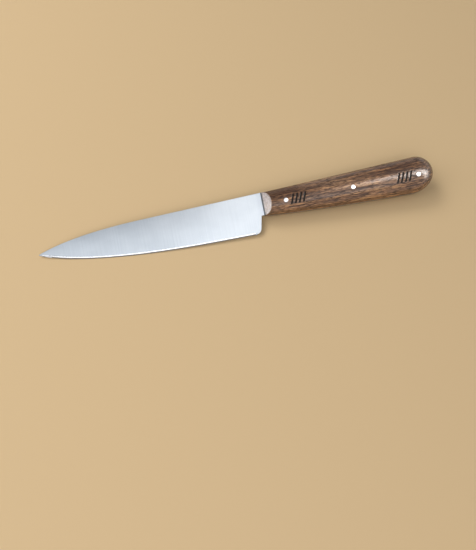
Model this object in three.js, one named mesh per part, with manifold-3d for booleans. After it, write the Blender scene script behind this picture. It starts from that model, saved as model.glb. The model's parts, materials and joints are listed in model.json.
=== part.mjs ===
// A kitchen knife lying on its side: a flat-ground steel blade with a full tang, two wooden scales
// bevelled at the front, and three pins through scales and tang. Sizes are in millimetres.
// In the knife's own axes X runs from the tip to the butt, Y from the cutting edge to the spine and
// Z across the steel, out of the left side. The origin is in the middle of the handle's front end.

import * as THREE from 'three';
import { ConvexHull } from 'three/addons/math/ConvexHull.js';
import { mergeVertices } from 'three/addons/utils/BufferGeometryUtils.js';
import Module from 'manifold-3d';

const wasm = await Module();
wasm.setup();

// Blade
const bladeLength = 136; // front of the handle to the tip
const steelThickness = 2; // tang, and the spine where it leaves the handle
const spineRise = 7.4; // spine above the handle's axis, where it leaves the handle
const spineStraight = 74; // straight stretch of the spine, from the handle
const spineFall = 2.7; // how far the spine falls over that stretch
const spineCurveReach = 40; // how far the straight's line pulls on the curve to the tip
const edgeDrop = 17.2; // cutting edge below the handle's axis
const edgeStraight = 28; // front of the handle to where the belly starts
const bellyReach = 77.5; // how far the straight edge's line pulls on the belly
const tipDrop = 4.9; // tip below the handle's axis
const tipRadius = 0.5; // rounding of the tip
const neckLength = 2.1; // steel between the handle and the heel
const heelLean = 12; // degrees that the heel leans towards the tip
const heelRound = 3.5; // rounding of the heel's corner, along each side
const edgeBevel = 0.9; // height of the sharpened bevel
const edgeLand = 0.1; // steel left at the very edge
const heelThickness = 0.8; // steel behind the edge at the heel
const tipThickness = 1.1; // steel behind the tip

// Handle
const handleLength = 104.6; // front end to butt
const frontHeight = 14.2; // height at the front end
const frontThickness = 12.6; // thickness at the front end
const rearThickness = 17.6; // thickness where the butt starts to round
const bellySwell = 1.1; // fullness of the handle's lower line
const buttRise = 1.15; // end of the butt above the handle's axis
const buttTopRadius = 10.4; // rounding of the butt above its end
const buttBottomHeight = 11.5; // rounding below its end, across the handle
const buttBottomReach = 14.5; // the same rounding along the handle
const buttDome = 10; // length over which the butt thins towards its end
const bevelLength = 4.3; // front end bevel, along the handle
const bevelLip = 0.4; // wood left upright below the bevel

// Pins
const pinDiameter = 2.6;
const pinDrop = 0.9; // pins below the handle's axis
const frontPinSetback = 13.2; // from the front end
const middlePinSetback = 53.6; // from the front end
const rearPinSetback = 11.6; // from the butt

// Clearances
const scaleGap = 0.2; // scale to tang
const pinGap = 0.15; // pin to its hole, on the radius

// Densities in grams per cubic millimetre
const steelDensity = 0.0078;
const woodDensity = 0.00065;
const pinDensity = 0.0027;

// Finishes
const brushedSteel = { color: 0xcdd6e0, roughness: 0.35, metalness: 1 };
const oiledWood = { color: 0x71563f, roughness: 0.5, metalness: 0 };
const groundPin = { color: 0xe9e8ec, roughness: 0.25, metalness: 1 };

// Steps along a curve, across a scale and round a pin
const curveSteps = 12;
const ovalSteps = 20;
const pinSides = 24;

// Upper and lower outline of the handle, from its front end to the butt
const topLine = new THREE.Path();
topLine.moveTo(0, frontHeight / 2);
topLine.lineTo(handleLength - buttTopRadius, buttRise + buttTopRadius);
topLine.absarc(handleLength - buttTopRadius, buttRise, buttTopRadius, Math.PI / 2, 0, true);

const bottomEnd = new THREE.Vector2(handleLength - buttBottomReach, buttRise - buttBottomHeight);
const bottomMiddle = new THREE.Vector2(0, -frontHeight / 2).add(bottomEnd).multiplyScalar(0.5);
const bottomLine = new THREE.Path();
bottomLine.moveTo(0, -frontHeight / 2);
bottomLine.quadraticCurveTo(bottomMiddle.x, bottomMiddle.y - bellySwell, bottomEnd.x, bottomEnd.y);
bottomLine.absellipse(
  bottomEnd.x, buttRise, buttBottomReach, buttBottomHeight, -Math.PI / 2, 0, false,
);

// Spine and lower edge of the blade, from the handle to the tip
const spineSlope = spineFall / spineStraight;
const spineBend = spineStraight + spineCurveReach;
const spine = new THREE.Path();
spine.moveTo(0, spineRise);
spine.lineTo(-spineStraight, spineRise - spineFall);
spine.quadraticCurveTo(
  -spineBend, spineRise - spineBend * spineSlope,
  -bladeLength + tipRadius, -tipDrop + tipRadius,
);
spine.quadraticCurveTo(-bladeLength, -tipDrop + tipRadius / 2, -bladeLength, -tipDrop);

const heelSlope = Math.tan(THREE.MathUtils.degToRad(heelLean));
const heelCorner = neckLength + (edgeDrop - frontHeight / 2) * heelSlope;
const edge = new THREE.Path();
edge.moveTo(0, -frontHeight / 2);
edge.lineTo(-neckLength, -frontHeight / 2);
edge.lineTo(-heelCorner + heelRound * heelSlope, -edgeDrop + heelRound);
edge.quadraticCurveTo(-heelCorner, -edgeDrop, -heelCorner - heelRound, -edgeDrop);
edge.lineTo(-edgeStraight, -edgeDrop);
edge.quadraticCurveTo(
  -edgeStraight - bellyReach, -edgeDrop,
  -bladeLength + tipRadius, -tipDrop - tipRadius,
);
edge.quadraticCurveTo(-bladeLength, -tipDrop - tipRadius, -bladeLength, -tipDrop);

// Each side of the blade is ground to one plane, through the spine at the handle, the heel and the tip
const flank = new THREE.Plane().setFromCoplanarPoints(
  new THREE.Vector3(0, spineRise, steelThickness / 2),
  new THREE.Vector3(-heelCorner - heelRound, -edgeDrop, heelThickness / 2),
  new THREE.Vector3(-bladeLength, -tipDrop, tipThickness / 2),
);

// Height of an outline at a place along the knife
function heightAt(points, x) {
  const last = points.length - 1;
  let i = 1;
  while (i < last && (points[i].x - x) * (points[last].x - points[0].x) < 0) i += 1;
  const span = points[i].x - points[i - 1].x;
  if (span === 0) return points[i].y;
  const share = THREE.MathUtils.clamp((x - points[i - 1].x) / span, 0, 1);
  return THREE.MathUtils.lerp(points[i - 1].y, points[i].y, share);
}

// Closed skin over a row of sections, each a convex ring of as many points
function loft(sections) {
  const size = sections[0].length;
  const positions = sections.flat().flatMap((point) => point.toArray());
  const triangles = [];
  for (let s = 1; s < sections.length; s += 1) {
    for (let i = 0; i < size; i += 1) {
      const a = (s - 1) * size + i;
      const b = (s - 1) * size + ((i + 1) % size);
      triangles.push(a, b, b + size, a, b + size, a + size);
    }
  }
  const end = (sections.length - 1) * size;
  for (let i = 2; i < size; i += 1) {
    triangles.push(0, i, i - 1, end, end + i - 1, end + i);
  }
  const geometry = new THREE.BufferGeometry();
  geometry.setAttribute('position', new THREE.Float32BufferAttribute(positions, 3));
  geometry.setIndex(triangles);
  return geometry;
}

// Solid for joining and cutting, without the triangles that a section drawn to a point leaves flat
function toSolid(geometry) {
  const bare = geometry.clone();
  bare.deleteAttribute('normal');
  bare.deleteAttribute('uv');
  const merged = mergeVertices(bare);
  const index = merged.index.array;
  const kept = [];
  for (let i = 0; i < index.length; i += 3) {
    const [a, b, c] = index.slice(i, i + 3);
    if (a !== b && b !== c && c !== a) kept.push(a, b, c);
  }
  return new wasm.Manifold(new wasm.Mesh({
    numProp: 3,
    vertProperties: new Float32Array(merged.attributes.position.array),
    triVerts: new Uint32Array(kept),
  }));
}

function toGeometry(solid) {
  const mesh = solid.getMesh();
  const geometry = new THREE.BufferGeometry();
  geometry.setAttribute('position', new THREE.BufferAttribute(mesh.vertProperties, 3));
  geometry.setIndex(new THREE.BufferAttribute(mesh.triVerts, 1));
  geometry.computeVertexNormals();
  return geometry;
}

// The same skin on the other side of the steel
function mirrored(geometry) {
  const copy = geometry.clone();
  copy.scale(1, 1, -1);
  const index = copy.index.array;
  for (let i = 0; i < index.length; i += 3) {
    [index[i], index[i + 1]] = [index[i + 1], index[i]];
  }
  return copy;
}

// Pin and the hole round it
const throughLength = 2 * rearThickness; // sticks out of both sides of the handle
const pinPlaces = {
  front_pin: frontPinSetback,
  middle_pin: middlePinSetback,
  rear_pin: handleLength - rearPinSetback,
};

function pinCylinder(x, radius, length) {
  const cylinder = new THREE.CylinderGeometry(radius, radius, length, pinSides);
  cylinder.rotateX(Math.PI / 2);
  cylinder.translate(x, -pinDrop, 0);
  return cylinder;
}

function drillPinHoles(solid) {
  let drilled = solid;
  for (const x of Object.values(pinPlaces)) {
    drilled = drilled.subtract(toSolid(pinCylinder(x, pinDiameter / 2 + pinGap, throughLength)));
  }
  return drilled;
}

// Blade and tang: sections run from the tip along the edge, past the heel and through the handle
function steelSection(x, low, high) {
  const ground = (y) => -(flank.normal.x * x + flank.normal.y * y + flank.constant) / flank.normal.z;
  const full = THREE.MathUtils.clamp(1 + x / neckLength, 0, 1);
  const half = (y) => THREE.MathUtils.lerp(ground(y), steelThickness / 2, full);
  const bevel = Math.min(edgeBevel, (high - low) / 2);
  const sharpened = x <= -heelCorner - heelRound;
  const foot = sharpened ? Math.min(edgeLand / 2, half(low)) : half(low);
  const side = [[high, half(high)], [low + bevel, half(low + bevel)], [low, foot]];
  return [
    ...side.map(([y, z]) => new THREE.Vector3(x, y, z)),
    ...side.reverse().map(([y, z]) => new THREE.Vector3(x, y, -z)),
  ];
}

const topPoints = topLine.getPoints(curveSteps);
const bottomPoints = bottomLine.getPoints(curveSteps);

function makeBlade() {
  const spinePoints = spine.getPoints(curveSteps);
  const sections = edge.getPoints(curveSteps).reverse().map(
    (low) => steelSection(low.x, low.y, heightAt(spinePoints, low.x)),
  );
  for (const low of bottomPoints.slice(1)) {
    sections.push(steelSection(low.x, low.y, heightAt(topPoints, low.x)));
  }
  return drillPinHoles(toSolid(loft(sections)));
}

// Half thickness of the handle along its ridge
const tangFace = steelThickness / 2 + scaleGap;

function ridgeHeight(x) {
  const domeStart = handleLength - buttDome;
  const swell = THREE.MathUtils.clamp(x / domeStart, 0, 1);
  const ridge = THREE.MathUtils.lerp(frontThickness, rearThickness, swell) / 2;
  const past = THREE.MathUtils.clamp((x - domeStart) / buttDome, 0, 1);
  return tangFace + (ridge - tangFace) * Math.sqrt(1 - past * past);
}

// Half oval on the tang's face, from the lower line over the ridge to the upper one
function scaleSection(x) {
  const low = heightAt(bottomPoints, x);
  const high = heightAt(topPoints, x);
  const ring = [];
  for (let i = 0; i <= ovalSteps; i += 1) {
    const turn = (Math.PI * i) / ovalSteps;
    const y = (high + low) / 2 + (Math.cos(turn) * (high - low)) / 2;
    ring.push(new THREE.Vector3(x, y, tangFace + (ridgeHeight(x) - tangFace) * Math.sin(turn)));
  }
  return ring;
}

const scaleSkin = loft(bottomPoints.map((point) => scaleSection(point.x)));
const leftBlank = toSolid(scaleSkin);
const rightBlank = toSolid(mirrored(scaleSkin));

// The front end of a scale is bevelled from its ridge down to a low lip on the steel
function makeScale() {
  const lipTop = tangFace + bevelLip;
  const bevelSlope = (ridgeHeight(bevelLength) - lipTop) / bevelLength;
  const wedgeTop = lipTop + 2 * bevelLength * bevelSlope;
  const profile = new THREE.Shape();
  profile.moveTo(-bevelLength, lipTop - bevelLength * bevelSlope);
  profile.lineTo(2 * bevelLength, wedgeTop);
  profile.lineTo(-bevelLength, wedgeTop);
  const wedge = new THREE.ExtrudeGeometry(profile, { depth: 2 * frontHeight, bevelEnabled: false });
  wedge.rotateX(Math.PI / 2);
  wedge.translate(0, frontHeight, 0);
  return drillPinHoles(leftBlank.subtract(toSolid(wedge)));
}

// Pin with both ends ground flush with the scales, round a core that runs through the tang into both
function makePin(x) {
  const coreLength = 2 * (tangFace + steelThickness);
  const core = toSolid(pinCylinder(x, pinDiameter / 2, coreLength));
  const rod = toSolid(pinCylinder(x, pinDiameter / 2, throughLength));
  return core.add(rod.intersect(leftBlank)).add(rod.intersect(rightBlank));
}

// Sub-parts
const knife = new THREE.Group();

function addPart(name, geometry, finish, density) {
  const mesh = new THREE.Mesh(geometry, new THREE.MeshStandardMaterial(finish));
  mesh.name = name;
  mesh.userData.density = density;
  knife.add(mesh);
}

const leftScale = toGeometry(makeScale());
addPart('blade', toGeometry(makeBlade()), brushedSteel, steelDensity);
addPart('left_scale', leftScale, oiledWood, woodDensity);
addPart('right_scale', mirrored(leftScale), oiledWood, woodDensity);
for (const [name, x] of Object.entries(pinPlaces)) {
  addPart(name, toGeometry(makePin(x)), groundPin, pinDensity);
}

// Centre of mass of the whole knife, summed over the tetrahedra from the origin to each triangle
function centreOfMass(parts) {
  const moment = new THREE.Vector3();
  const corners = [new THREE.Vector3(), new THREE.Vector3(), new THREE.Vector3()];
  let mass = 0;
  for (const { geometry, userData } of parts) {
    const { position } = geometry.attributes;
    const index = geometry.index.array;
    for (let i = 0; i < index.length; i += 3) {
      const [a, b, c] = corners.map((corner, k) => corner.fromBufferAttribute(position, index[i + k]));
      const share = (userData.density * a.dot(new THREE.Vector3().crossVectors(b, c))) / 6;
      mass += share;
      moment.add(new THREE.Vector3().add(a).add(b).add(c).multiplyScalar(share / 4));
    }
  }
  return moment.divideScalar(mass);
}

// The knife lies on its right side, on the face of its hull that is nearest to the centre of mass
function restingFace(parts) {
  const points = [];
  for (const { geometry } of parts) {
    const { position } = geometry.attributes;
    for (let i = 0; i < position.count; i += 1) {
      points.push(new THREE.Vector3().fromBufferAttribute(position, i));
    }
  }
  const centre = centreOfMass(parts);
  const steepest = -0.5; // a face that leans more than this isn't the underside
  const { faces } = new ConvexHull().setFromPoints(points);
  const below = faces.filter((face) => face.normal.z < steepest);
  const depth = (face) => -face.distanceToPoint(centre);
  return below.reduce((best, face) => (depth(face) < depth(best) ? face : best));
}

const down = new THREE.Vector3(0, 0, -1);
knife.quaternion.setFromUnitVectors(restingFace(knife.children).normal, down);
knife.updateMatrixWorld(true);

// Origin under the middle of the knife, on the surface that it lies on
const box = new THREE.Box3().setFromObject(knife, true);
const middle = box.getCenter(new THREE.Vector3());
knife.position.set(-middle.x, -middle.y, -box.min.z);

const root = new THREE.Group();
root.add(knife);

export default root;
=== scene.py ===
# A kitchen knife that lies on its side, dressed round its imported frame
import json
import math

import bpy
import numpy as np
from mathutils import Matrix, Vector


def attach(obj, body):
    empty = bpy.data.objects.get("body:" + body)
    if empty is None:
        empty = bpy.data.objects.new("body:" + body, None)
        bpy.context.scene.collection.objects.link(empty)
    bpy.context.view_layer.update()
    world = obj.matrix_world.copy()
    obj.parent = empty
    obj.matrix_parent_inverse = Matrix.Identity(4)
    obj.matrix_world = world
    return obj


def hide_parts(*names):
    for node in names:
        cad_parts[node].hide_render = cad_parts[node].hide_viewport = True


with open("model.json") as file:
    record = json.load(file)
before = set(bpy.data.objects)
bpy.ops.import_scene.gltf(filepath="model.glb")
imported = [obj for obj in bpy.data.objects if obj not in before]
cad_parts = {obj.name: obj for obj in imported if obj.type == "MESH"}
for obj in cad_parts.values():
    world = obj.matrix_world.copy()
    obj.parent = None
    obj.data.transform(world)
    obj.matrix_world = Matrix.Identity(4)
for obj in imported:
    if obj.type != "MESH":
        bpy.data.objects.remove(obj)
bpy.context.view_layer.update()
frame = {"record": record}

bpy.context.scene.view_settings.view_transform = "Standard"
mm = 0.001


# The knife's own axes: x from the tip to the butt, y from the edge to the spine, z out of the left side.
# The record gives the blade's two flat sides at one point of the blade, and the axes follow from them.
knifeAxes = {
    "flatPoint": Vector((-50 * mm, -5 * mm, 0)),
}


def findKnife():
    flats = {mount["name"]: mount for mount in frame["record"]["mounts"]}
    left = flats["left_flat"]
    right = flats["right_flat"]
    outOfLeft = (Vector(left["axis"]) - Vector(right["axis"])).normalized()
    upInKnife = Vector((-outOfLeft.x, -outOfLeft.y, outOfLeft.z))
    turn = upInKnife.rotation_difference(Vector((0, 0, 1)))
    onBlade = (Vector(left["pos_m"]) + Vector(right["pos_m"])) / 2
    return Matrix.LocRotScale(onBlade - turn @ knifeAxes["flatPoint"], turn, None)


knife = findKnife()
print("knife found at", [round(value / mm, 2) for value in knife.translation], "mm")


# Camera, floor and soft boxes
cameraView = {
    "place": Vector((-25.61, -128.47, 277.35)) * mm,
    "pitch": 71.21,         # degrees below level
    "heading": -11.22,      # degrees, turned to the right of straight back
    "focalPixels": 500,
    "frameHeight": 550,     # pixels, the longer side of the picture
}

floorPlan = {
    "size": 12,             # metres
    "colour": (0.65, 0.47, 0.265),
    "roughness": 0.85,
    "far": (0.25, 1.4),     # metres from the knife, over which the light's falling off is made up
    "farGlow": 0.75,
}

skyLight = {
    "colour": (0.93, 0.965, 1.0),
    "strength": 0.215,
    "haze": 0.75,           # strength near the horizon, as the camera and gloss see it
    "hazeTop": 40,          # degrees above the horizon, where the haze has gone
    "hazeFull": 15,         # degrees below which it is full
}

# A box's first size lies along the given direction, and radiance is how bright it looks, where 1 is white.
# A box that doesn't fill only shows in gloss. One that shines on a group of pieces lights nothing else,
# and one that shines on nothing only fills.
coolWhite = (1.0, 1.0, 1.0)
warmWhite = (1.0, 0.96, 0.92)
softBoxes = {
    "overhead": {
        "place": (-0.34, -0.27, 1.2), "along": (1, -0.45, 0), "size": (1.3, 0.36),
        "radiance": 0.93, "colour": coolWhite, "fills": True, "shines": "all",
    },
    "overHeel": {
        "place": (0.14, -0.14, 1.2), "along": (1, 0, 0), "size": (0.46, 0.40),
        "radiance": 1.5, "colour": warmWhite, "fills": False, "shines": "blade",
    },
    "rightWindow": {
        "place": (0.45, -0.08, 1.01), "along": (1, 0, 0), "size": (0.26, 0.26),
        "radiance": 10.0, "colour": warmWhite, "fills": False, "shines": "handle",
    },
    "sideWindow": {
        "place": (0.76, -0.20, 0.88), "along": (1, 0, 0), "size": (0.46, 0.38),
        "radiance": 14.0, "colour": warmWhite, "fills": False, "shines": "handle",
    },
    "lowWindow": {
        "place": (0.98, -0.30, 0.57), "along": (1, 0, 0), "size": (0.46, 0.52),
        "radiance": 9.0, "colour": warmWhite, "fills": False, "shines": "handle",
    },
    "overBack": {
        "place": (0.0, 0.9, 0.95), "along": (1, 0, 0), "size": (1.4, 0.6),
        "radiance": 0.7, "colour": coolWhite, "fills": False, "shines": "blade",
    },
    "backLeft": {
        "place": (-0.5, 0.8, 0.9), "along": (1, 0, 0), "size": (0.6, 0.5),
        "radiance": 6.6, "colour": coolWhite, "fills": True, "shines": "nothing",
    },
    "leftSky": {
        "place": (-0.9, 0.12, 0.8), "along": (0, 1, 0), "size": (1.0, 1.0),
        "radiance": 2.0, "colour": coolWhite, "fills": True, "shines": "nothing",
    },
    "frontSky": {
        "place": (-0.15, -0.8, 0.8), "along": (1, 0, 0), "size": (1.0, 0.6),
        "radiance": 1.4, "colour": warmWhite, "fills": True, "shines": "nothing",
    },
    "leftWindow": {
        "place": (-1.2, 0.22, 0.12), "along": (0, 1, 0), "size": (0.5, 0.35),
        "radiance": 9.6, "colour": coolWhite, "fills": True, "shines": "handle",
    },
    "frontStrip": {
        "place": (-0.12, -0.70, 1.0), "along": (1, 0, 0), "size": (1.3, 0.3),
        "radiance": 1.8, "colour": coolWhite, "fills": True, "shines": "all",
    },
}


def setCamera():
    data = bpy.data.cameras.new("photoCamera")
    data.lens = data.sensor_width * cameraView["focalPixels"] / cameraView["frameHeight"]
    camera = bpy.data.objects.new("photoCamera", data)
    bpy.context.scene.collection.objects.link(camera)
    camera.location = cameraView["place"]
    camera.rotation_euler = (
        math.radians(90 - cameraView["pitch"]), 0, math.radians(cameraView["heading"]),
    )
    bpy.context.scene.camera = camera


lightGroups = {name: bpy.data.collections.new(name + "Pieces") for name in ("blade", "handle")}


def hangSoftBox(name, box):
    data = bpy.data.lights.new(name, "AREA")
    data.shape = "RECTANGLE"
    data.size, data.size_y = box["size"]
    data.color = box["colour"]
    data.energy = box["radiance"] * math.pi * data.size * data.size_y
    light = bpy.data.objects.new(name, data)
    bpy.context.scene.collection.objects.link(light)
    light.location = box["place"]
    back = light.location.normalized()
    up = back.cross(Vector(box["along"])).normalized()
    light.rotation_euler = Matrix((up.cross(back), up, back)).transposed().to_euler()
    light.visible_camera = False
    light.visible_diffuse = box["fills"]
    light.visible_glossy = box["shines"] != "nothing"
    if box["shines"] in lightGroups:
        light.light_linking.receiver_collection = lightGroups[box["shines"]]


def lightSky():
    world = bpy.data.worlds.new("sky")
    bpy.context.scene.world = world
    sky = Shading(world, "Background")
    direction = sky.node("ShaderNodeTexCoord", output="Generated")
    height = sky.axes(direction)[2]
    top = math.sin(math.radians(skyLight["hazeTop"]))
    full = math.sin(math.radians(skyLight["hazeFull"]))
    haze = height.step(top, full) * sky.seen()
    sky.set(
        Color=(*skyLight["colour"], 1),
        Strength=skyLight["strength"] + (skyLight["haze"] - skyLight["strength"]) * haze,
    )


# Shader maths: a socket that takes Python's operators, and the one place where nodes are made
class Value:
    def __init__(self, finish, socket):
        self.finish = finish
        self.socket = socket

    def maths(self, operation, *values):
        return self.finish.node("ShaderNodeMath", {"operation": operation}, values)

    def __add__(self, other):
        return self.maths("ADD", self, other)

    def __radd__(self, other):
        return self.maths("ADD", other, self)

    def __sub__(self, other):
        return self.maths("SUBTRACT", self, other)

    def __rsub__(self, other):
        return self.maths("SUBTRACT", other, self)

    def __mul__(self, other):
        return self.maths("MULTIPLY", self, other)

    def __rmul__(self, other):
        return self.maths("MULTIPLY", other, self)

    def __truediv__(self, other):
        return self.maths("DIVIDE", self, other)

    def __rtruediv__(self, other):
        return self.maths("DIVIDE", other, self)

    def __pow__(self, other):
        return self.maths("POWER", self, other)

    def __abs__(self):
        return self.maths("ABSOLUTE", self)

    def larger(self, other):
        return self.maths("MAXIMUM", self, other)

    def wave(self):
        return self.maths("SINE", self)

    # 0 below low and 1 above high, or the other way round where low is the larger
    def step(self, low, high):
        ends = {"Value": self, "From Min": low, "From Max": high, "To Min": 0.0, "To Max": 1.0}
        return self.finish.node("ShaderNodeMapRange", {"interpolation_type": "SMOOTHSTEP"}, ends)


class Shading:
    def __init__(self, owner, shaderName):
        owner.use_nodes = True
        self.tree = owner.node_tree
        self.shader = self.tree.nodes[shaderName]

    def node(self, kind, settings=None, inputs=(), output=0):
        node = self.tree.nodes.new(kind)
        for name, value in (settings or {}).items():
            setattr(node, name, value)
        named = inputs.items() if isinstance(inputs, dict) else enumerate(inputs)
        for name, value in named:
            self.feed(node.inputs[name], value)
        return Value(self, node.outputs[output])

    def feed(self, socket, value):
        if isinstance(value, Value):
            self.tree.links.new(value.socket, socket)
        elif value is not None:
            socket.default_value = value

    def set(self, **sockets):
        for name, value in sockets.items():
            self.feed(self.shader.inputs[name.replace("_", " ")], value)

    def axes(self, place):
        return [self.node("ShaderNodeSeparateXYZ", None, {"Vector": place}, axis) for axis in "XYZ"]

    # 1 for what the camera sees, straight or in gloss
    def seen(self):
        straight = self.node("ShaderNodeLightPath", output="Is Camera Ray")
        return straight.larger(self.node("ShaderNodeLightPath", output="Is Glossy Ray"))


class Finish(Shading):
    def __init__(self, name):
        self.material = bpy.data.materials.new(name)
        super().__init__(self.material, "Principled BSDF")

    # place on the knife in millimetres, in the knife's own axes
    def place(self):
        where = self.node("ShaderNodeTexCoord", output="Object")
        turned = {
            "Vector": where,
            "Location": knife.translation,
            "Rotation": knife.to_euler(),
            "Scale": (mm, mm, mm),
        }
        return self.node("ShaderNodeMapping", {"vector_type": "TEXTURE"}, turned)

    # noise with its own grain size along each axis, in millimetres
    def noise(self, place, grain, detail=2.0, roughness=0.5):
        scaled = self.node("ShaderNodeVectorMath", {"operation": "DIVIDE"}, (place, grain))
        inputs = {"Vector": scaled, "Scale": 1.0, "Detail": detail, "Roughness": roughness}
        return self.node("ShaderNodeTexNoise", {"normalize": True}, inputs)

    # a Mix node's sockets for colours go by number, because its other kinds have the same names
    def mix(self, share, first, second):
        colours = {0: share, 6: self.colour(first), 7: self.colour(second)}
        return self.node("ShaderNodeMix", {"data_type": "RGBA", "clamp_factor": True}, colours, 2)

    def colour(self, value):
        return value if isinstance(value, Value) else (*value, 1)

    def bump(self, height, distance, strength):
        inputs = {"Height": height, "Distance": distance, "Strength": strength}
        return self.node("ShaderNodeBump", None, inputs, "Normal")


# Modelling helpers
weldDistance = 0.0005 * mm


# A grid whose points are put where placeOf says, by column and row
def shapedGrid(name, columns, rows, placeOf):
    bpy.ops.object.select_all(action="DESELECT")
    bpy.ops.mesh.primitive_grid_add(x_subdivisions=columns - 1, y_subdivisions=rows - 1, size=2)
    piece = bpy.context.object
    piece.name = name
    for point in piece.data.vertices:
        column = round((point.co.x + 1) / 2 * (columns - 1))
        row = round((point.co.y + 1) / 2 * (rows - 1))
        point.co = placeOf(column, row)
    return piece


def pick(piece):
    bpy.ops.object.select_all(action="DESELECT")
    piece.select_set(True)
    bpy.context.view_layer.objects.active = piece


def applyModifier(piece, kind, **settings):
    pick(piece)
    modifier = piece.modifiers.new(kind.lower(), kind)
    for name, value in settings.items():
        setattr(modifier, name, value)
    bpy.ops.object.modifier_apply(modifier=modifier.name)


# Merge the points that meet, close what is open with one flat face, and turn the faces outwards
def closeSkin(piece):
    pick(piece)
    bpy.ops.object.mode_set(mode="EDIT")
    bpy.ops.mesh.select_mode(type="VERT")
    bpy.ops.mesh.select_all(action="SELECT")
    bpy.ops.mesh.remove_doubles(threshold=weldDistance)
    bpy.ops.mesh.dissolve_degenerate(threshold=weldDistance)
    bpy.ops.mesh.select_all(action="DESELECT")
    bpy.ops.mesh.select_non_manifold(extend=False)
    if piece.data.total_vert_sel:
        bpy.ops.mesh.edge_face_add()
    bpy.ops.mesh.select_all(action="SELECT")
    bpy.ops.mesh.normals_make_consistent(inside=False)
    bpy.ops.object.mode_set(mode="OBJECT")


def shadeSmooth(piece, angle):
    pick(piece)
    bpy.ops.object.shade_smooth_by_angle(angle=math.radians(angle))


# From the knife's axes to where it lies, with its place left in the mesh
def layDown(piece, body, node):
    pick(piece)
    piece.matrix_world = knife
    bpy.ops.object.transform_apply(location=True, rotation=True, scale=True)
    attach(piece, body)
    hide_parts(node)
    print(piece.name, len(piece.data.polygons), "faces")


# Points of a quadratic curve after its start
def curve(start, pull, end, steps):
    points = []
    for step in range(1, steps + 1):
        t = step / steps
        points.append(start.lerp(pull, t).lerp(pull.lerp(end, t), t))
    return points


# Points of a straight line after its start
def line(start, end, steps):
    return [start.lerp(end, step / steps) for step in range(1, steps + 1)]


# 0 at low and 1 at high, straight between them
def share(value, low, high):
    return min(max((value - low) / (high - low), 0), 1)


# Handle: outlines seen from the side, and the ridge half way round a scale
handle = {
    "length": 104.6 * mm,
    "frontHeight": 14.2 * mm,
    "frontThickness": 12.6 * mm,
    "rearThickness": 17.6 * mm,
    "swell": 1.1 * mm,             # fullness of the lower line
    "buttRise": 1.15 * mm,         # end of the butt above the handle's axis
    "buttTopRadius": 10.4 * mm,
    "buttBottomHeight": 11.5 * mm,
    "buttBottomReach": 14.5 * mm,
    "dome": 10 * mm,               # length over which the butt thins
    "facetLength": 4.3 * mm,       # bevel of the front end, along the handle
    "facetLip": 0.4 * mm,
    "facetEase": 0.35 * mm,        # rounding of the facet's rim
    "cornerEase": 0.6 * mm,        # rounding of the front end's lower corner, across the handle
    "cornerLength": 4 * mm,        # and along it
    "pinDrop": 0.9 * mm,           # line of the pins and the hatching, below the handle's axis
    "glueLine": 0.03 * mm,
    "tangThickness": 2 * mm,
}
tangFace = handle["tangThickness"] / 2 + handle["glueLine"]
domeStart = handle["length"] - handle["dome"]
buttStart = handle["length"] - handle["buttBottomReach"]


def handleTop(x):
    radius = handle["buttTopRadius"]
    past = x - (handle["length"] - radius)
    if past > 0:
        return handle["buttRise"] + math.sqrt(max(radius**2 - past**2, 0))
    front = handle["frontHeight"] / 2
    return front + (handle["buttRise"] + radius - front) * x / (handle["length"] - radius)


def handleBottom(x):
    past = (x - buttStart) / handle["buttBottomReach"]
    if past > 0:
        return handle["buttRise"] - handle["buttBottomHeight"] * math.sqrt(max(1 - past**2, 0))
    t = x / buttStart
    front = -handle["frontHeight"] / 2
    rear = handle["buttRise"] - handle["buttBottomHeight"]
    return front + (rear - front) * t - 2 * handle["swell"] * t * (1 - t)


def ridge(x):
    swell = share(x, 0, domeStart)
    thick = handle["frontThickness"] + (handle["rearThickness"] - handle["frontThickness"]) * swell
    past = share(x, domeStart, handle["length"])
    return tangFace + (thick / 2 - tangFace) * math.sqrt(1 - past**2)


# Lower line of the wood, which is rounded at its front corner
def woodBottom(x):
    return handleBottom(x) + handle["cornerEase"] * share(x, handle["cornerLength"], 0) ** 2


# Point on a scale's skin, turn going from the upper line over the ridge to the lower one
def onSkin(x, turn):
    top = handleTop(x)
    bottom = woodBottom(x)
    y = (top + bottom) / 2 + math.cos(turn) * (top - bottom) / 2
    return Vector((x, y, tangFace + (ridge(x) - tangFace) * math.sin(turn)))


# The facet's plane rises from the top of a lip over the tang
lipTop = tangFace + handle["facetLip"]
facetSlope = (ridge(handle["facetLength"]) - lipTop) / handle["facetLength"]


# Height of the skin over a point of the side view
def skinHeight(x, y):
    top = handleTop(x)
    bottom = handleBottom(x)
    across = (2 * y - top - bottom) / (top - bottom)
    return tangFace + (ridge(x) - tangFace) * math.sqrt(max(1 - across**2, 0))


# Burnt hatching on the handle: short slanted strokes behind the front pin and before the rear one
hatching = {
    "middles": (20.8 * mm, 84.6 * mm),
    "strokes": 4,
    "pitch": 2.4 * mm,
    "length": 6.6 * mm,            # across the handle
    "width": 1.2 * mm,
    "slant": 0.35,                 # along the handle, for each step across it
    "depth": 0.18 * mm,
    "burntEdge": (0.62, 0.38),     # shares of the width off a stroke's middle, from bare to burnt
    "endFade": 0.05,               # share of the pitch, over which the outer strokes end
}


def hatchDepth(x, y):
    across = y + handle["pinDrop"]
    reach = share(abs(across), hatching["length"] / 2, hatching["length"] / 2 - hatching["width"])
    deepest = 0
    for middle in hatching["middles"]:
        for stroke in range(hatching["strokes"]):
            centre = middle + (stroke - (hatching["strokes"] - 1) / 2) * hatching["pitch"]
            off = abs(x - centre - hatching["slant"] * across)
            deepest = max(deepest, share(off, hatching["width"] / 2, 0))
    return hatching["depth"] * reach * deepest


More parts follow.
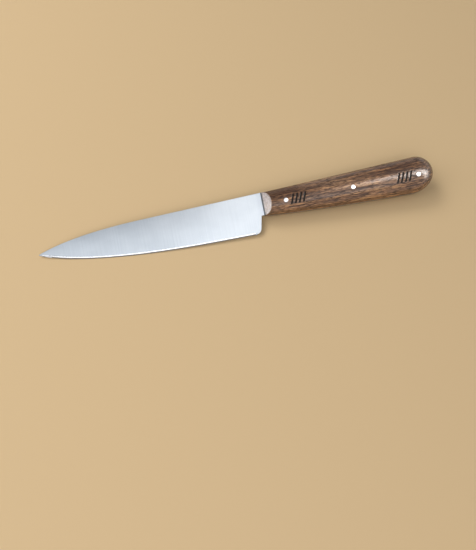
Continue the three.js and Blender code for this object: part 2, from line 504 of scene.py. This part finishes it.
# Scales: one skin from the lip over the facet and its rim to the butt, closed flat on the tang
scaleMesh = {
    "columns": 360,
    "domeColumns": 40,
    "rows": 97,
    "facetColumns": 6,
    "rimColumns": 4,
    "smoothAngle": 35,             # degrees, up to which neighbouring faces shade as one
}


# Foot of the facet at this turn, and how far along the handle the facet reaches there
def facetLine(turn):
    grow = (ridge(handle["facetLength"]) - ridge(0)) / handle["facetLength"]
    lift = math.sin(turn)
    reach = (tangFace + (ridge(0) - tangFace) * lift - lipTop) / (facetSlope - grow * lift)
    foot = onSkin(0, turn)
    foot.z = min(foot.z, lipTop)
    return foot, max(reach, 0)


def scaleRow(turn):
    foot, reach = facetLine(turn)
    rim = onSkin(reach, turn)
    ease = min(handle["facetEase"], (rim - foot).length / 2)
    facetEnd = rim + (foot - rim).normalized() * ease if ease > 0 else rim
    skinStart = reach + handle["facetEase"]
    skinEnd = onSkin(skinStart, turn)
    points = [Vector((0, foot.y, tangFace)), foot]
    points += line(foot, facetEnd, scaleMesh["facetColumns"])
    points += curve(facetEnd, rim, skinEnd, scaleMesh["rimColumns"])
    for step in range(1, scaleMesh["columns"] + 1):
        points.append(onSkin(skinStart + (domeStart - skinStart) * step / scaleMesh["columns"], turn))
    for step in range(1, scaleMesh["domeColumns"] + 1):
        along = math.sin(math.pi / 2 * step / scaleMesh["domeColumns"])
        points.append(onSkin(domeStart + handle["dome"] * along, turn))
    return points


def makeScale(name):
    rows = [scaleRow(math.pi * row / (scaleMesh["rows"] - 1)) for row in range(scaleMesh["rows"])]
    for row in rows:
        for point in row:
            point.z -= hatchDepth(point.x, point.y)
    piece = shapedGrid(name, len(rows[0]), len(rows), lambda column, row: rows[row][column])
    closeSkin(piece)
    return piece


def mirrorScale(scale, name):
    pick(scale)
    bpy.ops.object.duplicate()
    copy = bpy.context.object
    copy.name = name
    bpy.ops.object.mode_set(mode="EDIT")
    bpy.ops.mesh.select_all(action="SELECT")
    bpy.ops.transform.resize(value=(1, 1, -1), center_override=(0, 0, 0))
    bpy.ops.mesh.normals_make_consistent(inside=False)
    bpy.ops.object.mode_set(mode="OBJECT")
    return copy


# Blade and tang: one half as a grid from the edge to the spine, mirrored over the middle of the steel
blade = {
    "length": 136 * mm,
    "spineRise": 7.4 * mm,         # above the handle's axis, where the spine leaves the handle
    "spineFade": 7.5 * mm,         # how far into the handle the tang stands above the wood
    "spineStraight": 74 * mm,
    "spineFall": 2.7 * mm,
    "spinePull": 40 * mm,          # how far the straight's line goes on before the spine bends to the tip
    "edgeDrop": 17.2 * mm,
    "edgeStraight": 28 * mm,
    "bellyPull": 77.5 * mm,
    "tipDrop": 4.9 * mm,
    "tipRound": 0.5 * mm,
    "tipTaper": 25 * mm,           # the steel thins to the point over this length
    "tipFullness": 0.3,            # power of that thinning, fuller the smaller it is
    "grindSwell": 0.16 * mm,       # how far the flanks stand out of flat, half way up
    "grindFade": 30 * mm,          # length over which that fades out before the heel
    "shoulder": 3 * mm,            # length over which the ground steel grows to the tang's thickness
    "neck": 2.1 * mm,
    "heelLean": 12,                # degrees
    "heelRound": 3.5 * mm,
    "bevel": 1.2 * mm,             # height of the sharpened bevel
    "kneeHeight": 0.52,            # the bevel has two stages, which meet at this share of its height
    "kneeSlope": 13,               # degrees, of the upper stage
    "bevelRunOut": 2 * mm,
    "heelThickness": 0.8 * mm,
    "tipThickness": 1.1 * mm,
    "bevelLimit": 1 / 3,           # share of the steel's height that the bevel takes at most
    "ease": 0.16 * mm,             # rounding of the spine and the heel
    "easeLimit": 1 / 8,            # share of the steel's height that the rounding takes at most
}
bladeMesh = {
    "tipSteps": 12,
    "spineSteps": 60,
    "spineStraightSteps": 20,
    "underTipSteps": 10,
    "bellySteps": 48,
    "edgeSteps": 24,
    "heelSteps": 24,
    "heelSideSteps": 10,
    "neckSteps": 6,
    "tangSteps": 60,
    "buttSteps": 30,
    "flankRows": 8,
    "seam": 0.001 * mm,            # the halves are merged where they are this close to the middle
    "smoothAngle": 8,              # degrees
}
neckDrop = handle["frontHeight"] / 2 - handle["cornerEase"]
heelSlope = math.tan(math.radians(blade["heelLean"]))
heelCorner = blade["neck"] + (blade["edgeDrop"] - neckDrop) * heelSlope
heelStart = -heelCorner - blade["heelRound"]


def spineLine():
    tip = Vector((-blade["length"], -blade["tipDrop"]))
    shoulder = tip + Vector((blade["tipRound"], blade["tipRound"]))
    bend = blade["spineStraight"] + blade["spinePull"]
    pull = Vector((-bend, blade["spineRise"] - bend * blade["spineFall"] / blade["spineStraight"]))
    straight = Vector((-blade["spineStraight"], blade["spineRise"] - blade["spineFall"]))
    points = [tip]
    points += curve(tip, tip + Vector((0, blade["tipRound"] / 2)), shoulder, bladeMesh["tipSteps"])
    points += curve(shoulder, pull, straight, bladeMesh["spineSteps"])
    return points + line(straight, Vector((0, blade["spineRise"])), bladeMesh["spineStraightSteps"])


def edgeLine():
    tip = Vector((-blade["length"], -blade["tipDrop"]))
    under = tip + Vector((blade["tipRound"], -blade["tipRound"]))
    belly = Vector((-blade["edgeStraight"], -blade["edgeDrop"]))
    pull = belly - Vector((blade["bellyPull"], 0))
    corner = Vector((-heelCorner, -blade["edgeDrop"]))
    heelFoot = Vector((heelStart, -blade["edgeDrop"]))
    heelEnd = corner + Vector((heelSlope, 1)) * blade["heelRound"]
    neck = Vector((-blade["neck"], -neckDrop))
    points = [tip]
    points += curve(tip, Vector((tip.x, under.y)), under, bladeMesh["underTipSteps"])
    points += curve(under, pull, belly, bladeMesh["bellySteps"])
    points += line(belly, heelFoot, bladeMesh["edgeSteps"])
    points += curve(heelFoot, corner, heelEnd, bladeMesh["heelSteps"])
    points += line(heelEnd, neck, bladeMesh["heelSideSteps"])
    return points + line(neck, Vector((0, -neckDrop)), bladeMesh["neckSteps"])


# Half thickness of the ground steel: a plane through the spine at the handle, the heel and the tip
def groundHalf(x, y):
    spine = Vector((0, blade["spineRise"], handle["tangThickness"] / 2))
    heel = Vector((heelStart, -blade["edgeDrop"], blade["heelThickness"] / 2))
    tip = Vector((-blade["length"], -blade["tipDrop"], blade["tipThickness"] / 2))
    normal = (heel - spine).cross(tip - spine)
    flat = spine.z - (normal.x * (x - spine.x) + normal.y * (y - spine.y)) / normal.z
    thin = share(x + blade["length"], 0, blade["tipTaper"]) ** blade["tipFullness"]
    full = share(x, 0, blade["shoulder"])
    return flat * thin * (1 - full) + handle["tangThickness"] / 2 * full


# Half a cut through the steel: the edge's two stages or a rounding, the flank, and the spine's rounding
def steelColumn(x, low, high):
    ease = min(blade["ease"], (high - low) * blade["easeLimit"], groundHalf(x, high) / 2)
    bevel = min(blade["bevel"], (high - low) * blade["bevelLimit"])
    sharp = share(x, heelStart + blade["bevelRunOut"], heelStart)
    shoulder = low + bevel * sharp + ease * (1 - sharp)
    kneeDrop = bevel * (1 - blade["kneeHeight"]) * math.tan(math.radians(blade["kneeSlope"]))
    knee = max(groundHalf(x, shoulder) - kneeDrop, groundHalf(x, shoulder) / 2)
    under = (groundHalf(x, low) - ease) * (1 - sharp) + knee * sharp
    column = [Vector((x, low, 0)), Vector((x, low + bevel * blade["kneeHeight"] * sharp, under))]
    swell = blade["grindSwell"] * share(x + blade["length"], 0, blade["tipTaper"])
    swell *= share(x, heelStart, heelStart - blade["grindFade"])
    for row in range(bladeMesh["flankRows"] + 1):
        up = row / bladeMesh["flankRows"]
        y = shoulder + (high - ease - shoulder) * up
        column.append(Vector((x, y, groundHalf(x, y) + 4 * swell * up * (1 - up))))
    column.append(Vector((x, high, groundHalf(x, high) - ease)))
    return column + [Vector((x, high, 0))]


def tangTop(x):
    step = blade["spineRise"] - handleTop(0)
    return handleTop(x) + step * (1 - share(x, 0, blade["spineFade"]))


def makeBlade(name):
    spine = spineLine()
    spineX = [point.x for point in spine]
    spineY = [point.y for point in spine]
    columns = []
    for point in edgeLine():
        columns.append(steelColumn(point.x, point.y, float(np.interp(point.x, spineX, spineY))))
    for step in range(1, bladeMesh["tangSteps"] + 1):
        x = buttStart * step / bladeMesh["tangSteps"]
        columns.append(steelColumn(x, woodBottom(x), tangTop(x)))
    for step in range(1, bladeMesh["buttSteps"] + 1):
        along = math.sin(math.pi / 2 * step / bladeMesh["buttSteps"])
        x = buttStart + handle["buttBottomReach"] * along
        columns.append(steelColumn(x, woodBottom(x), tangTop(x)))
    rows = len(columns[0])
    piece = shapedGrid(name, len(columns), rows, lambda column, row: columns[column][row])
    applyModifier(piece, "MIRROR", use_axis=(False, False, True), merge_threshold=bladeMesh["seam"])
    closeSkin(piece)
    return piece


# Pins: rods with domed ends that follow the wood, and the drill for their holes
pins = {
    "diameter": 2.6 * mm,
    "play": 0.05 * mm,             # on the radius
    "setbacks": {"front_pin": 13.2 * mm, "middle_pin": 53.6 * mm, "rear_pin": 93.0 * mm},
    "rim": 0.12 * mm,              # width of the end's rounded rim
    "crownRing": 1 / 6,            # share of the diameter, width of the ring inside the rim
    "proud": 0.03 * mm,            # crown of the end over the wood
    "sides": 48,
    "endTurn": 0.9,                # a face whose normal lies this much along the rod is one of its ends
    "smoothAngle": 40,             # degrees
}


def pinRod(x, radius, length):
    bpy.ops.object.select_all(action="DESELECT")
    bpy.ops.mesh.primitive_cylinder_add(
        vertices=pins["sides"], radius=radius, depth=length, location=(x, -handle["pinDrop"], 0),
    )
    bpy.ops.object.transform_apply(location=True, rotation=True, scale=True)
    return bpy.context.object


def makeDrill():
    rods = []
    for x in pins["setbacks"].values():
        rods.append(pinRod(x, pins["diameter"] / 2 + pins["play"], 2 * handle["rearThickness"]))
    bpy.ops.object.select_all(action="DESELECT")
    for rod in rods:
        rod.select_set(True)
    bpy.context.view_layer.objects.active = rods[0]
    bpy.ops.object.join()
    return bpy.context.object


def makePin(name, x):
    piece = pinRod(x, pins["diameter"] / 2, handle["rearThickness"])
    piece.name = name
    bpy.ops.object.mode_set(mode="EDIT")
    bpy.ops.mesh.select_mode(type="FACE")
    bpy.ops.mesh.select_all(action="DESELECT")
    bpy.ops.object.mode_set(mode="OBJECT")
    for face in piece.data.polygons:
        face.select = abs(face.normal.z) > pins["endTurn"]
    bpy.ops.object.mode_set(mode="EDIT")
    for width in (pins["rim"] / 2, pins["rim"] / 2, pins["diameter"] * pins["crownRing"]):
        bpy.ops.mesh.inset(thickness=width, use_individual=True)
    bpy.ops.mesh.poke()
    bpy.ops.object.mode_set(mode="OBJECT")
    for point in piece.data.vertices:
        off = math.hypot(point.co.x - x, point.co.y + handle["pinDrop"]) / (pins["diameter"] / 2)
        rounding = share(off, 1 - 2 * pins["rim"] / pins["diameter"], 1)
        crown = pins["proud"] * (1 - off**2) - pins["rim"] / 2 * rounding**2
        point.co.z = math.copysign(skinHeight(point.co.x, point.co.y) + crown, point.co.z)
    return piece


# Satin steel of the blade, with grains in millimetres along each of the knife's axes
satinSteel = {
    "fine": {"grain": (0.47, 30, 30), "detail": 3.0, "roughness": 0.6},    # brushing across the blade
    "streak": {"grain": (1.6, 60, 60)},
    "cloud": {"grain": (25, 12, 12)},
    "fineShare": 0.6,              # of the brushing, the rest is streaks
    "cloudShare": 0.5,             # of the tone, the rest is brushing
    "toneRange": (0.25, 0.75),
    "dark": (0.59, 0.65, 0.72),
    "light": (0.76, 0.82, 0.89),
    "nearHandleShade": (0.42, 0.47, 0.56),  # painted shade, on the steel beside the handle
    "nearHandleShadeRange": (-5, -0.5),     # millimetres along the knife
    "nearHandleShadeShare": 0.3,
    "gapShade": (0.09, 0.10, 0.12),   # painted shade: a dark line in the gap along the scales' front ends
    "gapShadeRange": (-0.5, -0.3),
    "gapShadeShare": 0.85,
    "roughness": 0.20,
    "brushRoughness": 0.16,
    "cloudRoughness": 0.05,
    "gapShadeRoughness": 0.2,
    "bumpDepth": 0.01 * mm,
    "bumpStrength": 0.3,
}


def brushedSteel():
    finish = Finish("brushed steel")
    place = finish.place()
    x = finish.axes(place)[0]
    fine = finish.noise(place, **satinSteel["fine"])
    streak = finish.noise(place, **satinSteel["streak"])
    cloud = finish.noise(place, **satinSteel["cloud"])
    brush = satinSteel["fineShare"] * fine + (1 - satinSteel["fineShare"]) * streak
    tone = brush * (1 - satinSteel["cloudShare"]) + cloud * satinSteel["cloudShare"]
    steel = finish.mix(tone.step(*satinSteel["toneRange"]), satinSteel["dark"], satinSteel["light"])
    # painted shade: the steel darkens as it nears the handle
    nearHandleShade = x.step(*satinSteel["nearHandleShadeRange"])
    steel = finish.mix(nearHandleShade * satinSteel["nearHandleShadeShare"], steel, satinSteel["nearHandleShade"])
    # painted shade in the gap where the blade goes into the scales
    gapShade = x.step(*satinSteel["gapShadeRange"])
    steel = finish.mix(gapShade * satinSteel["gapShadeShare"], steel, satinSteel["gapShade"])
    rough = satinSteel["roughness"] + satinSteel["brushRoughness"] * brush
    rough = rough + satinSteel["cloudRoughness"] * cloud + satinSteel["gapShadeRoughness"] * gapShade
    finish.set(
        Base_Color=steel,
        Metallic=1.0,
        Roughness=rough,
        Normal=finish.bump(brush, satinSteel["bumpDepth"], satinSteel["bumpStrength"]),
    )
    return finish.material


# Plain metals, whose tone and roughness follow one noise
plainMetals = {
    "ground edge": {
        "noise": {"grain": (0.35, 8, 8), "detail": 3.0, "roughness": 0.6},
        "dark": (0.80, 0.83, 0.87), "light": (0.92, 0.94, 0.96),
        "roughness": 0.16, "rougher": 0.14,
    },
    # tang's edges between the scales and the bevel's steep lower stage, painted dark: the shaded board
    # that they reflect, and the shadow under the edge
    "steel with painted shade": {
        "noise": {"grain": (3, 0.4, 0.4), "detail": 3.0, "roughness": 0.6},
        "dark": (0.24, 0.21, 0.19), "light": (0.42, 0.39, 0.36),
        "roughness": 0.36, "rougher": 0.18,
    },
    "ground pin": {
        "noise": {"grain": (0.25, 0.25, 4)},
        "dark": (0.86, 0.86, 0.87), "light": (0.95, 0.95, 0.96),
        "roughness": 0.34, "rougher": 0.14,
    },
}


def plainMetal(name):
    metal = plainMetals[name]
    finish = Finish(name)
    grain = finish.noise(finish.place(), **metal["noise"])
    finish.set(
        Base_Color=finish.mix(grain, metal["dark"], metal["light"]),
        Metallic=1.0,
        Roughness=metal["roughness"] + metal["rougher"] * grain,
    )
    return finish.material


# Faces of the steel, told apart by how far their normals turn, where 1 is all the way
steelFaces = {
    "bevelToEdge": 0.15,           # more than this towards the edge, on the sharpened bevel
    "bevelToSide": 0.3,            # and more than this to the side
    "lowerStageToEdge": 0.33,      # more than this towards the edge, on the bevel's lower stage
    "tangEdgeToSide": 0.5,         # less than this to the side, on the tang's edges
}


# Flanks first, then the bevel, then its lower stage and the tang's edges, which are painted dark as shade
def finishSteel(piece):
    for material in (brushedSteel(), plainMetal("ground edge"), plainMetal("steel with painted shade")):
        piece.data.materials.append(material)
    for face in piece.data.polygons:
        toEdge = -face.normal.y
        toSide = abs(face.normal.z)
        sharpened = face.center.x < heelStart
        bevel = toEdge > steelFaces["bevelToEdge"] and toSide > steelFaces["bevelToSide"]
        tangEdge = face.center.x > 0 and toSide < steelFaces["tangEdgeToSide"]
        face.material_index = 1 if sharpened and bevel else 0
        if tangEdge or (sharpened and toEdge > steelFaces["lowerStageToEdge"]):
            face.material_index = 2


# Walnut: colours, and grains in millimetres along each of the knife's axes
walnut = {
    "dark": (0.080, 0.029, 0.009),
    "middle": (0.262, 0.116, 0.043),
    "light": (0.525, 0.270, 0.112),
    "grey": (0.215, 0.146, 0.100),
    "pore": (0.033, 0.012, 0.004),
    "burnt": (0.010, 0.006, 0.004),
    # pale facet colours: end grain with a painted sheen
    "endGrainAndSheen": (0.41, 0.355, 0.340),
    "endShade": (0.28, 0.232, 0.218),
    "endPore": (0.16, 0.11, 0.09),
    # painted highlight along the facets' rims
    "rim": (0.62, 0.50, 0.42),
    # painted shade where the scales' front ends meet the blade
    "jointShade": (0.012, 0.010, 0.010),
    "jointShadeRange": (0.5, 0.3),      # millimetres along the knife
}

woodGrain = {
    "cut": (-150.0, 42.0, -19.0),  # where in the log the scales were cut, in millimetres
    "heart": (-62.0, -46.0),       # middle of the growth rings, across the knife, in millimetres
    "ring": 3.6,                   # millimetres from ring to ring
    "ringWander": 5,               # millimetres
    "ringSharpness": 6.0,
    "drift": {"grain": (60, 16, 16)},
    "streak": {"grain": (26, 1.4, 1.4), "roughness": 0.55},
    "fine": {"grain": (8, 0.55, 0.55), "detail": 3.0, "roughness": 0.6},
    "pore": {"grain": (3.2, 0.38, 0.38), "detail": 0.0},
    "poreRing": 0.04,              # more pores on the rings
    "poreStreak": 0.15,            # and fewer on pale streaks
    "poreRange": (0.47, 0.56),
    "poreShare": 0.85,
    "smallPore": {"grain": (2.4, 0.2, 0.2), "detail": 0.0},
    "smallPoreRange": (0.56, 0.66),
    "smallPoreShare": 0.6,
    "streakTone": 0.9,
    "fineTone": 0.9,
    "driftTone": 0.4,
    "ringTone": 0.06,
    "shadeTone": 0.16,
    "shadeAlong": (34, 6),         # millimetres behind the front end, over which the wood darkens
    "shadeAcross": (-5, 3),        # and millimetres across the handle
    "upperShadeTone": 0.08,
    "upperShadeRange": (0, 6),          # millimetres across the handle, over which its upper side darkens as painted shade
    "middleRange": (-0.22, 0.02),  # tones from dark to middle
    "lightRange": (-0.02, 0.22),   # and from middle to light
    "sheenGreyClimb": 0.015,            # for each millimetre across the handle, a painted sheen that greys the upper side
    "greyRange": (-0.05, 0.2),
    "greyShare": 0.4,
    "endCloud": {"grain": (1.6, 1.6, 1.6)},
    "endCloudRange": (0.35, 0.65),
    "endPore": {"grain": (0.3, 0.3, 0.3), "detail": 1.0},
    "endPoreRange": (0.54, 0.68),
    "endPoreShare": 0.5,
}

facetFinish = {
    "faceOff": (0.2, 0.08),        # millimetres off the facet's plane, from long grain to end grain with its painted sheen
    "rimHighlightOff": (0.4, 0.2),          # and from long grain to the painted highlight along the rim
    "past": (1.5, 1),              # millimetres behind the facet, over which both end
    "faceShare": 0.75,
    "rimHighlightShare": 0.7,
}

oilFinish = {
    "roughness": 0.52,
    "fineRoughness": 0.15,
    "poreRoughness": 0.2,
    "facetRoughness": -0.2,
    "burntRoughness": 0.3,
    "coat": 0.9,
    "burntBare": 0.95,             # shares of the coat that are missing
    "poreBare": 0.45,
    "shadeBare": 0.5,
    "coatRoughness": 0.23,
    "coatBending": 1.65,           # index of refraction
    "specular": 0.3,
    "streakHeight": 0.5,
    "fineHeight": 0.4,
    "poreDepth": 0.6,
    "bumpDepth": 0.2 * mm,
    "bumpStrength": 0.5,
}


# 1 on the bevelled front ends, and 1 along their rims, where a highlight is painted
def facetMasks(x, z):
    off = abs(abs(z) - lipTop / mm - facetSlope * x) / math.hypot(1, facetSlope)
    atFront = x.step(*(handle["facetLength"] / mm + past for past in facetFinish["past"]))
    facet = off.step(*facetFinish["faceOff"]) * atFront
    rim = off.step(*facetFinish["rimHighlightOff"]) * atFront * (1 - facet)
    return facet, rim


# 1 on the burnt strokes
def hatchMask(x, y):
    across = y + handle["pinDrop"] / mm
    half = hatching["length"] / mm / 2
    width = hatching["width"] / mm
    pitch = hatching["pitch"] / mm
    reach = abs(across).step(half, half - width / 2)
    outer = hatching["strokes"] / 2 + hatching["endFade"]
    inner = hatching["strokes"] / 2 - hatching["endFade"]
    shift = 0.5 if hatching["strokes"] % 2 == 0 else 0.0    # an even count has no stroke in its middle
    burnt = 0.0
    for middle in hatching["middles"]:
        along = (x - middle / mm - hatching["slant"] * across) / pitch
        inside = abs(along).step(outer, inner)
        shifted = along + shift
        nearest = abs(shifted - shifted.maths("ROUND", shifted)) * pitch
        burnt = burnt + nearest.step(*(width * part for part in hatching["burntEdge"])) * inside
    return burnt * reach


# Growth rings: circles round the log's heart, which wander with the drift
def growthRing(y, z, drift):
    outY = y - woodGrain["heart"][0] + (drift - 0.5) * woodGrain["ringWander"]
    outZ = z - woodGrain["heart"][1]
    out = (outY * outY + outZ * outZ) ** 0.5
    return ((out * (2 * math.pi / woodGrain["ring"])).wave() * 0.5 + 0.5) ** woodGrain["ringSharpness"]


# End grain of the facets, made pale by a painted sheen
def endGrainAndSheen(finish, place):
    cloud = finish.noise(place, **woodGrain["endCloud"]).step(*woodGrain["endCloudRange"])
    pore = finish.noise(place, **woodGrain["endPore"]).step(*woodGrain["endPoreRange"])
    wood = finish.mix(cloud, walnut["endGrainAndSheen"], walnut["endShade"])
    return finish.mix(pore * woodGrain["endPoreShare"], wood, walnut["endPore"])


def oiledWalnut():
    finish = Finish("oiled walnut")
    place = finish.place()
    x, y, z = finish.axes(place)
    log = finish.node("ShaderNodeVectorMath", {"operation": "ADD"}, (place, woodGrain["cut"]))
    drift = finish.noise(log, **woodGrain["drift"])
    streak = finish.noise(log, **woodGrain["streak"])
    fine = finish.noise(log, **woodGrain["fine"])
    ring = growthRing(y, z, drift)
    pore = finish.noise(log, **woodGrain["pore"]) + woodGrain["poreRing"] * ring
    pore = (pore - woodGrain["poreStreak"] * streak).step(*woodGrain["poreRange"])
    smallPore = finish.noise(log, **woodGrain["smallPore"]).step(*woodGrain["smallPoreRange"])

    shade = x.step(*woodGrain["shadeAlong"]) * y.step(*woodGrain["shadeAcross"])
    tone = woodGrain["streakTone"] * (streak - 0.5) + woodGrain["fineTone"] * (fine - 0.5)
    tone = tone + woodGrain["driftTone"] * (drift - 0.5) - woodGrain["ringTone"] * ring
    tone = tone - woodGrain["shadeTone"] * shade
    # painted shade: the handle darker on its upper side
    tone = tone - woodGrain["upperShadeTone"] * y.step(*woodGrain["upperShadeRange"])
    wood = finish.mix(tone.step(*woodGrain["middleRange"]), walnut["dark"], walnut["middle"])
    wood = finish.mix(tone.step(*woodGrain["lightRange"]), wood, walnut["light"])
    # grey wood that drifts at random, and grows towards the upper side as a painted sheen
    greyer = ((drift - 0.5) + woodGrain["sheenGreyClimb"] * y).step(*woodGrain["greyRange"])
    wood = finish.mix(greyer * woodGrain["greyShare"], wood, walnut["grey"])
    pores = (pore * woodGrain["poreShare"]).larger(smallPore * woodGrain["smallPoreShare"])
    wood = finish.mix(pores, wood, walnut["pore"])

    facet, rim = facetMasks(x, z)
    wood = finish.mix(facet * facetFinish["faceShare"], wood, endGrainAndSheen(finish, place))
    # painted highlight along the facets' rims
    wood = finish.mix(rim * facetFinish["rimHighlightShare"], wood, walnut["rim"])
    # painted shade where the scales' front ends meet the blade
    wood = finish.mix(x.step(*walnut["jointShadeRange"]), wood, walnut["jointShade"])
    burnt = hatchMask(x, y)
    wood = finish.mix(burnt, wood, walnut["burnt"])

    rough = oilFinish["roughness"] + oilFinish["fineRoughness"] * fine + oilFinish["poreRoughness"] * pore
    rough = rough + oilFinish["facetRoughness"] * facet + oilFinish["burntRoughness"] * burnt
    coat = oilFinish["coat"] * (1 - oilFinish["burntBare"] * burnt)
    coat = coat * (1 - oilFinish["poreBare"] * pore) * (1 - oilFinish["shadeBare"] * shade)
    height = oilFinish["streakHeight"] * streak + oilFinish["fineHeight"] * fine
    height = height - oilFinish["poreDepth"] * pore
    finish.set(
        Base_Color=wood,
        Roughness=rough,
        Coat_Weight=coat,
        Normal=finish.bump(height, oilFinish["bumpDepth"], oilFinish["bumpStrength"]),
        Specular_IOR_Level=oilFinish["specular"],
        Coat_Roughness=oilFinish["coatRoughness"],
        Coat_IOR=oilFinish["coatBending"],
    )
    return finish.material


def paleFloor():
    finish = Finish("pale floor")
    where = finish.node("ShaderNodeTexCoord", output="Object")
    away = finish.node("ShaderNodeVectorMath", {"operation": "LENGTH"}, (where,), "Value")
    far = away.step(*floorPlan["far"]) * finish.seen()
    finish.set(
        Base_Color=(*floorPlan["colour"], 1),
        Roughness=floorPlan["roughness"],
        Emission_Color=finish.mix(far, (0, 0, 0), floorPlan["colour"]),
        Emission_Strength=floorPlan["farGlow"],
    )
    return finish.material


# Build
setCamera()
lightSky()
for boxName, softBox in softBoxes.items():
    hangSoftBox(boxName, softBox)
bpy.ops.object.select_all(action="DESELECT")
bpy.ops.mesh.primitive_plane_add(size=floorPlan["size"])
floor = bpy.context.object
floor.name = "floor"
floor.data.materials.append(paleFloor())
print("camera, lights and floor set")

bladePiece = makeBlade("bladeAndTang")
leftScale = makeScale("leftScale")
drill = makeDrill()
for drilled in (bladePiece, leftScale):
    applyModifier(drilled, "BOOLEAN", object=drill, operation="DIFFERENCE", solver="EXACT")
rightScale = mirrorScale(leftScale, "rightScale")
bpy.data.objects.remove(drill)
print("steel and wood shaped")

finishSteel(bladePiece)
shadeSmooth(bladePiece, bladeMesh["smoothAngle"])
lightGroups["blade"].objects.link(bladePiece)
scaleWood = oiledWalnut()
for scale in (leftScale, rightScale):
    scale.data.materials.append(scaleWood)
    shadeSmooth(scale, scaleMesh["smoothAngle"])
    lightGroups["handle"].objects.link(scale)
print("steel and wood finished")
layDown(bladePiece, "root", "blade")
layDown(leftScale, "root", "left_scale")
layDown(rightScale, "root", "right_scale")

pinMetal = plainMetal("ground pin")
pinNames = {"front_pin": "frontPin", "middle_pin": "middlePin", "rear_pin": "rearPin"}
for node, setback in pins["setbacks"].items():
    pin = makePin(pinNames[node], setback)
    pin.data.materials.append(pinMetal)
    shadeSmooth(pin, pins["smoothAngle"])
    lightGroups["handle"].objects.link(pin)
    layDown(pin, "root", node)
print("pins set")
